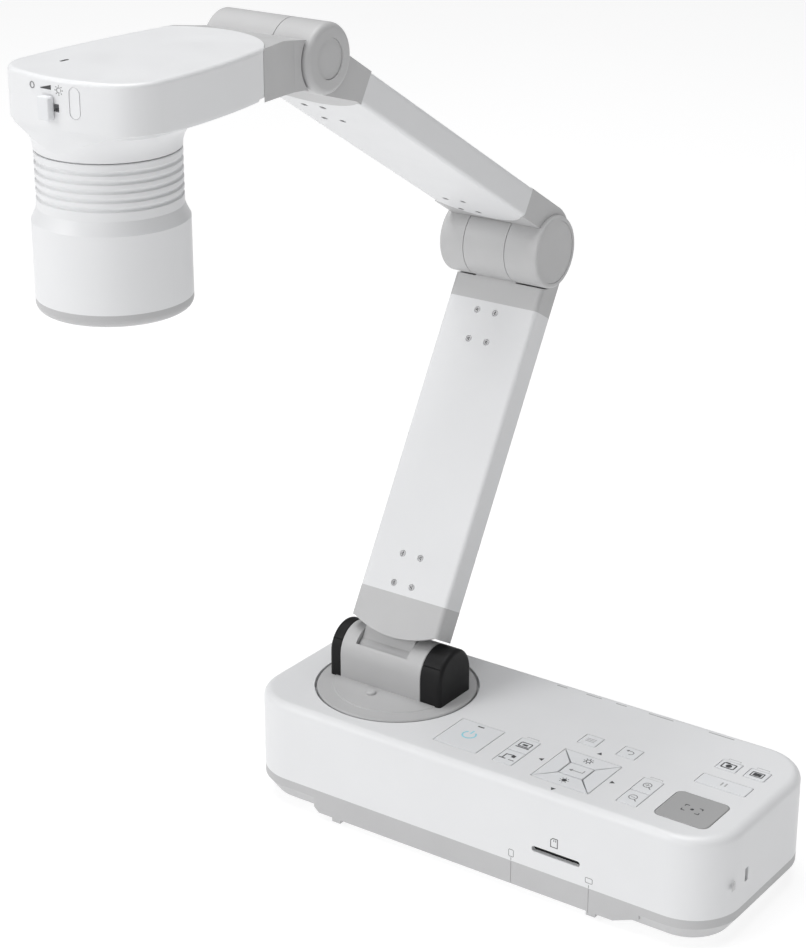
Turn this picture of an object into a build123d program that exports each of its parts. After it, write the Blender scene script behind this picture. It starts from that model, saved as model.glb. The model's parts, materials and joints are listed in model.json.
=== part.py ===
from build123d import *
import os
from math import cos, radians, sin

# Document camera. Millimetres, +Z up. The origin is the centre of the base on the table plane,
# +X runs along the base towards the key panel and the sheet lies in front of the base, at -Y.

os.makedirs("parts", exist_ok=True)

# Driving dimensions -----------------------------------------------------------------------------

GAP = 0.35          # clearance between pieces that move past each other
FIT = 0.08          # radial clearance of a pin in its running bore

BASE_LENGTH = 273.0
BASE_DEPTH = 104.0
BASE_CORNER = 26.0
BASE_TOP = 59.0
BASE_EDGE = 4.6
SEAM = 16.4         # height where the cover meets the tray
WALL = 2.4
TRAY_BOTTOM = 3.8
TRAY_FLOOR = 6.2
TRAY_CHAMFER_IN = 8.0
TRAY_CHAMFER_UP = 5.8

DISC_X = -77.0      # turntable centre, and the middle of the arm
DISC_R = 41.2
DISC_GAP = 1.3
DISC_TOP = 59.4
DISC_BOTTOM = 54.4
WELL_FLOOR = 54.0
HUB_R = 12.2
HUB_BOTTOM = 51.2
CABLE_R = 4.0
STEP_R = 33.0       # low raised area on the disc, in front of the housing
STEP_HEIGHT = 0.5
NUB = (-80.8, -17.6)        # index nub on it

SHOULDER_Y = 2.1
SHOULDER_Z = 71.4
HOUSING_Y = 3.2     # centre of the housing's round top, a little off the hinge axis
HOUSING_Z = 71.9
HOUSING_R = 14.0
HOUSING_LEFT = -28.5
HOUSING_RIGHT = 21.9
CAP_LEFT = -35.2
CAP_RIGHT = 34.0
POCKET_FRONT = -10.45       # front wall of the knuckle's pocket, from the hinge axis
KNUCKLE_R = 11.0
KNUCKLE_LEFT = -19.6
KNUCKLE_RIGHT = 11.6
PIN_R = 3.0

ARM_WIDTH = 53.5
ARM_THICK = 15.5
ARM_CORNER = 2.2
TUBE_WALL = 1.8
SPIGOT = 26.0
TONGUE_HALF = 24.5   # half width of the curved ends on the arm's broad face
LOWER_ANGLE = 59.67     # lower arm above the horizontal, leaning to the back
LOWER_BACK = -0.1       # the arm's back face, just behind the shoulder axis
LOWER_FOOT = 16.0
LOWER_TUBE_START = 32.3
LOWER_TUBE_END = 189.2
LOWER_TOP = 216.3
LOWER_SCREWS = (37.5, 53.0, 168.4, 184.0)
LOWER_SCREW_X = (-7.4, 3.5)

ELBOW_R = 18.7
ELBOW_ALONG = 220.3
ELBOW_OUT = 18.6
ELBOW_HALF = 29.5
ELBOW_MID_LEFT = -14.5
ELBOW_MID_RIGHT = 10.0
ELBOW_CAP_R = 16.0

UPPER_ANGLE = 148.7     # upper arm direction, rising to the front
UPPER_UNDER = -6.7      # underside of the arm above the elbow axis
UPPER_TUBE_START = 35.0
UPPER_TUBE_END = 193.2
UPPER_TONGUE = 15.0
UPPER_NOTCH = 9.0
UPPER_SCREWS = (27.5, 44.0, 160.0, 177.5)
UPPER_SCREW_X = (-15.0, -4.5)

PIVOT_ALONG = 229.7
PIVOT_OUT = -14.2
PIVOT_R = 15.5
PIVOT_LEFT = -26.5
PIVOT_RIGHT = 31.0
PIVOT_SPLIT = 9.5       # the ear is on the +X side of this, the head's knuckle on the other
PIVOT_CAP_R = 8.8

LENS_Y = -198.6
HEAD_TOP = 415.4
HEAD_WALL_BOTTOM = 395.1
HEAD_LEFT = -36.3   # the head's sides, from the lens axis
HEAD_RIGHT = 38.0
HEAD_REAR_LEFT = (-30.6, 70.0)      # ends and middle of its rear edge
HEAD_REAR_MIDDLE = (1.0, 79.6)
HEAD_REAR_RIGHT = (33.0, 59.0)
NECK_RIGHT = 28.0
HEAD_FRONT = -31.0
GRIP_R = 29.9
GRIP_TOP = 382.0
GROOVE_PITCH = 3.66
GROOVE_COUNT = 5
GROOVE_R = 0.8
FLARE = 12.0        # how far the neck under the head flares out, beyond the grip
HOOD_R = 32.3
HOOD_SHOULDER = 353.6
HOOD_BOTTOM = 321.3
RING_BOTTOM = 315.8
COLLAR_R = 24.0
LENS_R = 11.3
LENS_CURVE = 24.0     # radius of the front lens's face

KEY_TOP = 59.2
KEY_BOTTOM = 54.6
KEY_FLANGE = 0.9
KEY_FLANGE_TOP = 55.8
KEY_STEM_BOTTOM = 54.2

SCREW_HEAD_R = 1.6
SCREW_SHANK_R = 1.0

FOOT_R = 8.0
FOOT_PLACES = [(108, 30), (-108, 30), (108, -30), (-108, -30), (0, 0)]
CASE_SCREWS = [(-84, -46.4), (76, -46.4), (-60, 46.4), (106, 46.4)]
BOARD_BOTTOM = 24.0      # main board
KEY_BOARD_BOTTOM = 49.0
BOARD_THICK = 1.6
BOARD_POSTS = [(-18, -26), (118, -26), (-18, 30), (118, 30)]
KEY_BOARD_POSTS = [(-20, 15), (22, 10), (72, 15), (88, 20)]

# Keys: centre and size. Each pair shares one opening, split across its middle.
SINGLE_KEYS = {
    "key_power": (-15.6, -25.0, 25.6, 27.0, 0.8),
    "key_menu": (36.0, 5.2, 10.4, 10.4, 0.8),
    "key_escape": (58.0, 5.2, 10.8, 10.4, 0.8),
    "key_focus": (109.0, -25.2, 28.4, 26.6, 4.0),
    "key_freeze": (110.0, 4.0, 27.2, 10.0, 0.8),
    "key_capture": (103.4, 21.5, 11.4, 9.6, 0.8),
    "key_record": (118.6, 21.5, 11.4, 9.6, 0.8),
}
PAIR_KEYS = {
    "key_source": (12.2, -25.2, 11.4, 27.4, ("key_source_computer", "key_source_camera")),
    "key_zoom": (81.0, -24.8, 11.4, 27.2, ("key_zoom_in", "key_zoom_out")),
}
PAD_X = 46.0        # square pad of the arrow keys around the enter key
PAD_Y = -24.8
PAD_SIZE = 32.4
ENTER_W = 13.6
ENTER_H = 11.6

# Sockets on the back: height of their middles, and their places along X
REAR_Z = 31.5
POWER_X = -6.0
USB_X = 13.0
VIDEO_X = 29.0
DISPLAY_X = (52.0, 86.0)

CARD_X = 52.0       # memory card slot on the front
CARD_Z = 27.4
LOCK_Y = -20.5      # lock slot on the right end
LOCK_Z = 32.0
LOCK_WIDTH = 3.0
LOCK_HEIGHT = 7.0
PAPER_MARKS = (27.1, 70.6)      # half an A4 sheet's width and length from the lens axis

KNOB_X = -1.4       # lamp slider on the head's front, from the lens axis
KNOB_Z = 403.8
PLUG_X = 11.4       # oblong plug beside it
PLUG_Z = 406.6

# Planes and helpers -----------------------------------------------------------------------------


def side_plane(y, z, angle):
    """Plane across the arm: local x runs along the arm, local z is the row's +X."""
    along = (0, cos(radians(angle)), sin(radians(angle)))
    return Plane(origin=(DISC_X, y, z), x_dir=along, z_dir=(1, 0, 0))


def slice_plane(side, along, x=0.0):
    """Plane square to the arm: local x is the row's +X, local y is minus the side plane's y."""
    spot = side.from_local_coords((along, 0, x))
    return Plane(origin=spot, x_dir=(1, 0, 0), z_dir=side.x_dir)


LOWER = side_plane(SHOULDER_Y, SHOULDER_Z, LOWER_ANGLE)
ELBOW_POINT = LOWER.from_local_coords((ELBOW_ALONG, ELBOW_OUT, 0))
UPPER = side_plane(ELBOW_POINT.Y, ELBOW_POINT.Z, UPPER_ANGLE)
PIVOT_POINT = UPPER.from_local_coords((PIVOT_ALONG, PIVOT_OUT, 0))


def face_plane(side, out):
    """Plane along the arm's broad face: local x is the row's +X, local y runs along the arm."""
    return Plane(origin=side.from_local_coords((0, out, 0)), x_dir=(1, 0, 0), z_dir=side.y_dir)


def screw_places(x_places, along_places):
    return [(x, along) for along in along_places for x in x_places]


def save(piece, node):
    piece.part.label = node
    export_step(piece.part, f"parts/{node}.step")


# Base -------------------------------------------------------------------------------------------

with BuildPart() as top_cover:
    with BuildSketch(Plane.XY.offset(SEAM)):
        RectangleRounded(BASE_LENGTH, BASE_DEPTH, BASE_CORNER)
    extrude(amount=BASE_TOP - SEAM)
    fillet(top_cover.faces().sort_by(Axis.Z)[-1].edges(), BASE_EDGE)
    with BuildSketch(Plane.XY.offset(SEAM)):
        RectangleRounded(BASE_LENGTH - 2 * WALL, BASE_DEPTH - 2 * WALL, BASE_CORNER - WALL)
    extrude(amount=BASE_TOP - SEAM - WALL, mode=Mode.SUBTRACT)
    # well and bearing floor of the turntable
    with BuildSketch(Plane.XY.offset(WELL_FLOOR - WALL)):
        with Locations((DISC_X, 0)):
            Circle(DISC_R + DISC_GAP + WALL)
    extrude(amount=BASE_TOP - 1 - WELL_FLOOR + WALL)
    with BuildSketch(Plane.XY.offset(WELL_FLOOR)):
        with Locations((DISC_X, 0)):
            Circle(DISC_R + DISC_GAP)
    extrude(amount=BASE_TOP - WELL_FLOOR, mode=Mode.SUBTRACT)
    with BuildSketch(Plane.XY.offset(WELL_FLOOR - WALL)):
        with Locations((DISC_X, 0)):
            Circle(HUB_R + FIT)
    extrude(amount=WALL, mode=Mode.SUBTRACT)
    # screw bosses on the walls, and posts for the key board
    with BuildSketch(Plane.XY.offset(SEAM)):
        with Locations(*CASE_SCREWS):
            Circle(3.6)
    extrude(amount=22)
    with BuildSketch(Plane.XY.offset(SEAM)):
        with Locations(*CASE_SCREWS):
            Circle(1.5)
    extrude(amount=12, mode=Mode.SUBTRACT)
    with BuildSketch(Plane.XY.offset(KEY_BOARD_BOTTOM + BOARD_THICK)):
        with Locations(*KEY_BOARD_POSTS):
            Circle(2.2)
    extrude(amount=BASE_TOP - WALL - KEY_BOARD_BOTTOM - BOARD_THICK)
    # key openings
    with BuildSketch(Plane.XY.offset(BASE_TOP - WALL)):
        for x, y, w, h, r in SINGLE_KEYS.values():
            with Locations((x, y)):
                RectangleRounded(w, h, r)
        for x, y, w, h, _ in PAIR_KEYS.values():
            with Locations((x, y)):
                RectangleRounded(w, h, 0.8)
        with Locations((PAD_X, PAD_Y)):
            RectangleRounded(PAD_SIZE, PAD_SIZE, 0.8)
    extrude(amount=WALL, mode=Mode.SUBTRACT)
    # memory card slot on the front, lock slot on the right end
    with BuildSketch(Plane.XZ.offset(BASE_DEPTH / 2 - WALL)):
        with Locations((CARD_X, CARD_Z)):
            SlotOverall(26.9, 3.0)
    extrude(amount=WALL, mode=Mode.SUBTRACT)
    with BuildSketch(Plane.YZ.offset(BASE_LENGTH / 2 - WALL)):
        with Locations((LOCK_Y, LOCK_Z)):
            Rectangle(LOCK_WIDTH, LOCK_HEIGHT)
    extrude(amount=WALL, mode=Mode.SUBTRACT)
    # openings for the sockets on the back
    with BuildSketch(Plane.XZ.offset(-BASE_DEPTH / 2)):
        with Locations((POWER_X, REAR_Z)):
            Circle(4.6)
        with Locations((USB_X, REAR_Z)):
            Rectangle(12.8, 11.6)
        with Locations((VIDEO_X, REAR_Z)):
            Circle(5.0)
        for x in DISPLAY_X:
            with Locations((x, REAR_Z)):
                Rectangle(17.6, 9.4)
    extrude(amount=WALL, mode=Mode.SUBTRACT)
save(top_cover, "top_cover")

with BuildPart() as bottom_tray:
    with BuildSketch(Plane.XY.offset(TRAY_BOTTOM)):
        RectangleRounded(BASE_LENGTH, BASE_DEPTH, BASE_CORNER)
    extrude(amount=SEAM - TRAY_BOTTOM)
    chamfer(
        bottom_tray.faces().sort_by(Axis.Z)[0].edges(),
        length=TRAY_CHAMFER_UP,
        length2=TRAY_CHAMFER_IN,
        reference=bottom_tray.faces().sort_by(Axis.Z)[0],
    )
    # front skirt, flush with the cover, with a step at its left end and a ramp at its right end
    with BuildSketch(Plane.XZ.offset(BASE_DEPTH / 2 - 12)):
        with BuildLine():
            Polyline((-92, SEAM - 2), (-92, 6.5), (-89, TRAY_BOTTOM), (84, TRAY_BOTTOM),
                     (98, 9.4), (98, SEAM - 2), (-92, SEAM - 2))
        make_face()
    extrude(amount=12)
    # small tabs under the skirt
    with BuildSketch(Plane.XY.offset(1.8)):
        with Locations((-78, 1.5 - BASE_DEPTH / 2), (72, 1.5 - BASE_DEPTH / 2)):
            Rectangle(5, 3)
    extrude(amount=TRAY_BOTTOM - 1.8)
    # inside of the tray
    with BuildSketch(Plane.XY.offset(TRAY_FLOOR)):
        RectangleRounded(BASE_LENGTH - 13, BASE_DEPTH - 13, BASE_CORNER - 6.5)
    extrude(amount=SEAM - TRAY_FLOOR, mode=Mode.SUBTRACT)
    # posts for the main board
    with BuildSketch(Plane.XY.offset(TRAY_FLOOR)):
        with Locations(*BOARD_POSTS):
            Circle(3.0)
    extrude(amount=BOARD_BOTTOM - TRAY_FLOOR)
    # screw holes, recessed from below
    with BuildSketch(Plane.XY.offset(TRAY_BOTTOM)):
        with Locations(*CASE_SCREWS):
            Circle(1.6)
    extrude(amount=SEAM - TRAY_BOTTOM, mode=Mode.SUBTRACT)
    with BuildSketch(Plane.XY.offset(TRAY_BOTTOM)):
        with Locations(*CASE_SCREWS):
            Circle(3.2)
    extrude(amount=8, mode=Mode.SUBTRACT)
    # paper marks scribed in the skirt
    with BuildSketch(Plane.XZ.offset(BASE_DEPTH / 2 - 0.25)):
        with Locations(*[(x, 10) for x in PAPER_MARKS]):
            Rectangle(0.4, 14)
    extrude(amount=0.25, mode=Mode.SUBTRACT)
save(bottom_tray, "bottom_tray")

with BuildPart() as rubber_feet:
    with BuildSketch(Plane.XY):
        with Locations(*FOOT_PLACES):
            Circle(FOOT_R)
    extrude(amount=TRAY_BOTTOM)
    chamfer(rubber_feet.faces().group_by(Axis.Z)[0].edges(), 0.6)
save(rubber_feet, "rubber_feet")

with BuildPart() as case_screws:
    with BuildSketch(Plane.XY.offset(9.6)):
        with Locations(*CASE_SCREWS):
            Circle(2.9)
    extrude(amount=2.2)
    with BuildSketch(Plane.XY.offset(11.8)):
        with Locations(*CASE_SCREWS):
            Circle(1.4)
    extrude(amount=14)
    with BuildSketch(Plane.XY.offset(9.6)):
        with Locations(*CASE_SCREWS):
            Rectangle(3.4, 0.7)
            Rectangle(0.7, 3.4)
    extrude(amount=1.2, mode=Mode.SUBTRACT)
save(case_screws, "case_screws")

with BuildPart() as ballast_plate:
    with BuildSketch(Plane.XY.offset(TRAY_FLOOR)):
        RectangleRounded(232, 76, 12)
        with Locations(*BOARD_POSTS):
            Circle(3.6, mode=Mode.SUBTRACT)
    extrude(amount=9.0)
    chamfer(ballast_plate.faces().sort_by(Axis.Z)[-1].outer_wire().edges(), 0.6)
save(ballast_plate, "ballast_plate")

with BuildPart() as main_board:
    with BuildSketch(Plane.XY.offset(BOARD_BOTTOM)):
        with Locations((50, 4)):
            RectangleRounded(148, 72, 2)
    extrude(amount=BOARD_THICK)
    # chips, and taller capacitors
    with BuildSketch(Plane.XY.offset(BOARD_BOTTOM + BOARD_THICK)):
        with Locations((20, 6), (58, -8)):
            Rectangle(18, 18)
        with Locations((95, 8)):
            Rectangle(24, 14)
    extrude(amount=2.4)
    with BuildSketch(Plane.XY.offset(BOARD_BOTTOM + BOARD_THICK)):
        with Locations((-12, 8), (-12, -6), (112, -10)):
            Circle(4)
    extrude(amount=11)
save(main_board, "main_board")

with BuildPart() as key_board:
    with BuildSketch(Plane.XY.offset(KEY_BOARD_BOTTOM)):
        with Locations((47, -6)):
            Rectangle(156, 70)
    extrude(amount=BOARD_THICK)
save(key_board, "key_board")

with BuildPart() as card_socket:
    with BuildSketch(Plane.XY.offset(BOARD_BOTTOM + BOARD_THICK + 0.1)):
        with Locations((CARD_X, -37.2)):
            Rectangle(29, 24)
    extrude(amount=3.4)
    with BuildSketch(Plane.XZ.offset(29)):
        with Locations((CARD_X, CARD_Z)):
            Rectangle(25, 2.2)
    extrude(amount=21, mode=Mode.SUBTRACT)
save(card_socket, "card_socket")

with BuildPart() as lock_plate:
    with BuildSketch(Plane.YZ.offset(BASE_LENGTH / 2 - WALL - 1.6)):
        with Locations((LOCK_Y, LOCK_Z)):
            Rectangle(10, 16)
            Rectangle(LOCK_WIDTH + 0.2, LOCK_HEIGHT + 0.2, mode=Mode.SUBTRACT)
    extrude(amount=1.5)
save(lock_plate, "lock_plate")

with BuildPart() as power_socket:
    with BuildSketch(Plane.XZ.offset(-38)):
        with Locations((POWER_X, REAR_Z)):
            Rectangle(9, 11.4)
    extrude(amount=-11.4)
    with BuildSketch(Plane.XZ.offset(-49.4)):
        with Locations((POWER_X, REAR_Z)):
            Circle(4.3)
    extrude(amount=-2.2)
    with BuildSketch(Plane.XZ.offset(-42)):
        with Locations((POWER_X, REAR_Z)):
            Circle(3.0)
            Circle(1.0, mode=Mode.SUBTRACT)
    extrude(amount=-10, mode=Mode.SUBTRACT)
save(power_socket, "power_socket")

with BuildPart() as usb_socket:
    with BuildSketch(Plane.XZ.offset(-36)):
        with Locations((USB_X, REAR_Z)):
            Rectangle(12.0, 10.8)
    extrude(amount=-15.4)
    with BuildSketch(Plane.XZ.offset(-42)):
        with Locations((USB_X, REAR_Z)):
            Rectangle(8.4, 7.8)
            Rectangle(5.6, 3.2, mode=Mode.SUBTRACT)
    extrude(amount=-10, mode=Mode.SUBTRACT)
save(usb_socket, "usb_socket")

with BuildPart() as video_socket:
    with BuildSketch(Plane.XZ.offset(-38)):
        with Locations((VIDEO_X, REAR_Z)):
            Rectangle(10.4, 11.4)
    extrude(amount=-11.2)
    with BuildSketch(Plane.XZ.offset(-49.2)):
        with Locations((VIDEO_X, REAR_Z)):
            Circle(4.2)
    extrude(amount=-4.0)
    with BuildSketch(Plane.XZ.offset(-44)):
        with Locations((VIDEO_X, REAR_Z)):
            Circle(1.7)
    extrude(amount=-10, mode=Mode.SUBTRACT)
save(video_socket, "video_socket")

with BuildPart() as display_sockets:
    for x in DISPLAY_X:
        with BuildSketch(Plane.XZ.offset(-38)):
            with Locations((x, REAR_Z)):
                Rectangle(30.8, 11.4)
        extrude(amount=-11.2)
        with BuildSketch(Plane.XZ.offset(-49.2)):
            with Locations((x, REAR_Z)):
                Trapezoid(16.6, 8.4, 100)
        extrude(amount=-3.0)
        with BuildSketch(Plane.XZ.offset(-49.2)):
            with Locations((x, REAR_Z)):
                with GridLocations(2.3, 2.0, 5, 3):
                    Circle(0.55)
        extrude(amount=-3.0, mode=Mode.SUBTRACT)
save(display_sockets, "display_sockets")

# Turntable and shoulder hinge -------------------------------------------------------------------

with BuildPart() as turntable_disc:
    with BuildSketch(Plane.XY.offset(DISC_BOTTOM)):
        with Locations((DISC_X, 0)):
            Circle(DISC_R)
    extrude(amount=DISC_TOP - DISC_BOTTOM)
    chamfer(turntable_disc.faces().sort_by(Axis.Z)[-1].edges(), 0.6)
    # low raised area in front of the housing, with a round index nub
    with BuildSketch(Plane.XY.offset(DISC_TOP)):
        with Locations((DISC_X, 0)):
            Circle(STEP_R)
        with Locations((DISC_X, HOUSING_Y - HOUSING_R - STEP_R)):
            Rectangle(2 * STEP_R, 2 * STEP_R, mode=Mode.INTERSECT)
    extrude(amount=STEP_HEIGHT)
    chamfer(turntable_disc.faces().sort_by(Axis.Z)[-1].edges().filter_by(GeomType.CIRCLE), 0.45)
    with BuildSketch(Plane.XY.offset(DISC_TOP + STEP_HEIGHT)):
        with Locations(NUB):
            Circle(2.7)
    extrude(amount=1.5)
    fillet(turntable_disc.faces().sort_by(Axis.Z)[-1].edges(), 1.2)
    with BuildSketch(Plane.XY.offset(HUB_BOTTOM)):
        with Locations((DISC_X, 0)):
            Circle(HUB_R)
    extrude(amount=DISC_BOTTOM - HUB_BOTTOM)
    with BuildSketch(Plane.XY.offset(HUB_BOTTOM)):
        with Locations((DISC_X, 0)):
            Circle(CABLE_R)
    extrude(amount=DISC_TOP - HUB_BOTTOM, mode=Mode.SUBTRACT)
save(turntable_disc, "turntable_disc")

with BuildPart() as turntable_retainer:
    with BuildSketch(Plane.XY.offset(48.8)):
        with Locations((DISC_X, 0)):
            Circle(18)
            Circle(CABLE_R, mode=Mode.SUBTRACT)
    extrude(amount=HUB_BOTTOM - 48.8)
save(turntable_retainer, "turntable_retainer")

with BuildPart() as retainer_screws:
    with BuildSketch(Plane.XY.offset(46.6)):
        with Locations((DISC_X, 0)):
            with PolarLocations(8.2, 3):
                Circle(2.6)
    extrude(amount=2.2)
    fillet(retainer_screws.faces().group_by(Axis.Z)[0].edges(), 0.7)
save(retainer_screws, "retainer_screws")


def housing_profile():
    """Side view of the shoulder housing: upright sides under a round top."""
    with BuildSketch(mode=Mode.PRIVATE) as outline:
        with Locations((HOUSING_Y, HOUSING_Z)):
            Circle(HOUSING_R)
        with Locations((HOUSING_Y, (HOUSING_Z + DISC_TOP) / 2)):
            Rectangle(2 * HOUSING_R, HOUSING_Z - DISC_TOP)
        with Locations((HOUSING_Y, DISC_TOP + 20)):
            Rectangle(40, 40, mode=Mode.INTERSECT)
    return outline.sketch


def yz_plane(x):
    return Plane(origin=(DISC_X + x, 0, 0), x_dir=(0, 1, 0), z_dir=(1, 0, 0))


HOUSING = housing_profile()

with BuildPart() as hinge_housing:
    with BuildSketch(yz_plane(HOUSING_LEFT)):
        add(HOUSING)
    extrude(amount=HOUSING_RIGHT - HOUSING_LEFT)
    for end_face in (hinge_housing.faces().sort_by(Axis.X)[0], hinge_housing.faces().sort_by(Axis.X)[-1]):
        chamfer(end_face.edges().filter_by(lambda e: e.center().Z > DISC_TOP + 1), 0.5)
    # pocket for the arm's knuckle, open upwards over the arm's whole swing
    with BuildSketch(yz_plane(KNUCKLE_LEFT - 0.4)):
        with Locations((SHOULDER_Y, SHOULDER_Z)):
            Circle(KNUCKLE_R + 0.4)
            Polygon((0, -0.7), (20, -0.7), (20, 20), (POCKET_FRONT, 20), (POCKET_FRONT, 4.4), align=None)
    extrude(amount=KNUCKLE_RIGHT - KNUCKLE_LEFT + 0.8, mode=Mode.SUBTRACT)
    with BuildSketch(yz_plane(HOUSING_LEFT)):
        with Locations((SHOULDER_Y, SHOULDER_Z)):
            Circle(PIN_R)
    extrude(amount=HOUSING_RIGHT - HOUSING_LEFT, mode=Mode.SUBTRACT)
    with BuildSketch(Plane.XY.offset(DISC_TOP)):
        with Locations((DISC_X, 0)):
            Circle(CABLE_R)
    extrude(amount=8, mode=Mode.SUBTRACT)
save(hinge_housing, "hinge_housing")

for node, start, end in (
    ("hinge_cap_left", CAP_LEFT, HOUSING_LEFT),
    ("hinge_cap_right", HOUSING_RIGHT, CAP_RIGHT),
):
    with BuildPart() as hinge_cap:
        with BuildSketch(yz_plane(start)):
            add(HOUSING)
        extrude(amount=end - start)
        outer_face = hinge_cap.faces().sort_by(Axis.X)[0 if start < 0 else -1]
        fillet(outer_face.edges().group_by(Axis.Z)[-1], 2.2)
        # finger groove across the front
        with BuildSketch(yz_plane(start)):
            with Locations((HOUSING_Y - HOUSING_R, 80.4)):
                Rectangle(5.0, 2.2)
        extrude(amount=end - start, mode=Mode.SUBTRACT)
    save(hinge_cap, node)

with BuildPart() as shoulder_pin:
    with BuildSketch(yz_plane(HOUSING_LEFT)):
        with Locations((SHOULDER_Y, SHOULDER_Z)):
            Circle(PIN_R)
    extrude(amount=HOUSING_RIGHT - HOUSING_LEFT)
save(shoulder_pin, "shoulder_pin")

# Arms -------------------------------------------------------------------------------------------

LOWER_MID = LOWER_BACK + ARM_THICK / 2
LOWER_FRONT = LOWER_BACK + ARM_THICK
UPPER_MID = UPPER_UNDER - ARM_THICK / 2
UPPER_TOP = UPPER_UNDER - ARM_THICK


def arm_section(inset):
    """Cross-section of the arm, shrunk all round by inset."""
    return RectangleRounded(
        ARM_WIDTH - 2 * inset, ARM_THICK - 2 * inset, max(ARM_CORNER - inset, 0.6)
    )


def curved_end(start, depth):
    """Rounded tongue on the arm's broad face, from start towards the pivot by depth."""
    with BuildSketch(mode=Mode.PRIVATE) as tongue:
        with BuildLine():
            ThreePointArc((-TONGUE_HALF, start), (0, start - depth), (TONGUE_HALF, start))
            Line((TONGUE_HALF, start), (-TONGUE_HALF, start))
        make_face()
    return tongue.sketch


def tube(side, mid, start, end):
    """Straight hollow stretch of the arm."""
    with BuildPart(mode=Mode.PRIVATE) as hollow:
        with BuildSketch(slice_plane(side, start)):
            with Locations((0, -mid)):
                arm_section(0)
                RectangleRounded(
                    ARM_WIDTH - 2 * TUBE_WALL, ARM_THICK - 2 * TUBE_WALL, 0.8, mode=Mode.SUBTRACT
                )
        extrude(amount=end - start)
    return hollow.part


with BuildPart() as lower_tube:
    add(tube(LOWER, LOWER_MID, LOWER_TUBE_START, LOWER_TUBE_END))
    with BuildSketch(face_plane(LOWER, LOWER_FRONT)):
        with Locations(*screw_places(LOWER_SCREW_X, LOWER_SCREWS)):
            Circle(SCREW_SHANK_R + 0.15)
    extrude(amount=-TUBE_WALL, mode=Mode.SUBTRACT)
    with BuildSketch(face_plane(LOWER, LOWER_FRONT)):
        with Locations(*screw_places(LOWER_SCREW_X, LOWER_SCREWS)):
            Circle(SCREW_HEAD_R + 0.15)
    extrude(amount=-1.1, mode=Mode.SUBTRACT)
save(lower_tube, "lower_tube")


def arm_screws(side, out, places):
    """Pan-head screws seated in the broad face, with a cross recess."""
    with BuildPart(mode=Mode.PRIVATE) as screws:
        with BuildSketch(face_plane(side, out - 1.1)):
            with Locations(*places):
                Circle(SCREW_HEAD_R)
        extrude(amount=0.9)
        with BuildSketch(face_plane(side, out - 1.1)):
            with Locations(*places):
                Circle(SCREW_SHANK_R)
        extrude(amount=-6)
        with BuildSketch(face_plane(side, out - 0.8)):
            with Locations(*places):
                Rectangle(1.9, 0.5)
                Rectangle(0.5, 1.9)
        extrude(amount=0.7, mode=Mode.SUBTRACT)
    return screws.part


with BuildPart() as lower_arm_screws:
    add(arm_screws(LOWER, LOWER_FRONT, screw_places(LOWER_SCREW_X, LOWER_SCREWS)))
save(lower_arm_screws, "lower_arm_screws")

with BuildPart() as foot_bracket:
    with BuildSketch(slice_plane(LOWER, LOWER_FOOT)):
        with Locations((0, -LOWER_MID)):
            arm_section(0)
    extrude(amount=LOWER_TUBE_START - LOWER_FOOT)
    with BuildSketch(slice_plane(LOWER, LOWER_TUBE_START)):
        with Locations((0, -LOWER_MID)):
            arm_section(TUBE_WALL + 0.15)
    extrude(amount=SPIGOT)
    # curved lip over the front of the housing
    with BuildSketch(face_plane(LOWER, LOWER_FRONT)):
        add(curved_end(LOWER_FOOT + 0.01, 5.5))
    extrude(amount=-1.8)
    # knuckle in the housing, with its neck
    with BuildSketch(LOWER.offset(KNUCKLE_LEFT)):
        Circle(KNUCKLE_R)
        with Locations((LOWER_FOOT / 2 + 0.5, 4.85)):
            Rectangle(LOWER_FOOT + 1, 8.9)
    extrude(amount=KNUCKLE_RIGHT - KNUCKLE_LEFT)
    with BuildSketch(LOWER.offset(KNUCKLE_LEFT)):
        Circle(PIN_R + FIT)
    extrude(amount=KNUCKLE_RIGHT - KNUCKLE_LEFT, mode=Mode.SUBTRACT)
    with BuildSketch(face_plane(LOWER, LOWER_FRONT)):
        with Locations(*screw_places(LOWER_SCREW_X, LOWER_SCREWS[:2])):
            Circle(SCREW_SHANK_R + 0.1)
    extrude(amount=-9, mode=Mode.SUBTRACT)
save(foot_bracket, "foot_bracket")

with BuildPart() as lower_top_bracket:
    with BuildSketch(slice_plane(LOWER, LOWER_TUBE_END)):
        with Locations((0, -LOWER_MID)):
            arm_section(0)
    extrude(amount=LOWER_TOP - LOWER_TUBE_END)
    with BuildSketch(LOWER.offset(-ARM_WIDTH / 2)):
        with Locations((ELBOW_ALONG, ELBOW_OUT)):
            Circle(ELBOW_R + 0.7)
    extrude(amount=ARM_WIDTH, mode=Mode.SUBTRACT)
    with BuildSketch(slice_plane(LOWER, LOWER_TUBE_END - SPIGOT)):
        with Locations((0, -LOWER_MID)):
            arm_section(TUBE_WALL + 0.15)
    extrude(amount=SPIGOT)
    # middle segment of the elbow barrel
    with BuildSketch(LOWER.offset(ELBOW_MID_LEFT)):
        with Locations((ELBOW_ALONG, ELBOW_OUT)):
            Circle(ELBOW_R)
        with Locations(((LOWER_TUBE_END + ELBOW_ALONG) / 2, LOWER_MID)):
            Rectangle(ELBOW_ALONG - LOWER_TUBE_END, ARM_THICK)
    extrude(amount=ELBOW_MID_RIGHT - ELBOW_MID_LEFT)
    with BuildSketch(LOWER.offset(ELBOW_MID_LEFT)):
        with Locations((ELBOW_ALONG, ELBOW_OUT)):
            Circle(PIN_R + FIT)
    extrude(amount=ELBOW_MID_RIGHT - ELBOW_MID_LEFT, mode=Mode.SUBTRACT)
    with BuildSketch(face_plane(LOWER, LOWER_FRONT)):
        with Locations(*screw_places(LOWER_SCREW_X, LOWER_SCREWS[2:])):
            Circle(SCREW_SHANK_R + 0.1)
    extrude(amount=-9, mode=Mode.SUBTRACT)
save(lower_top_bracket, "lower_top_bracket")

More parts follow.
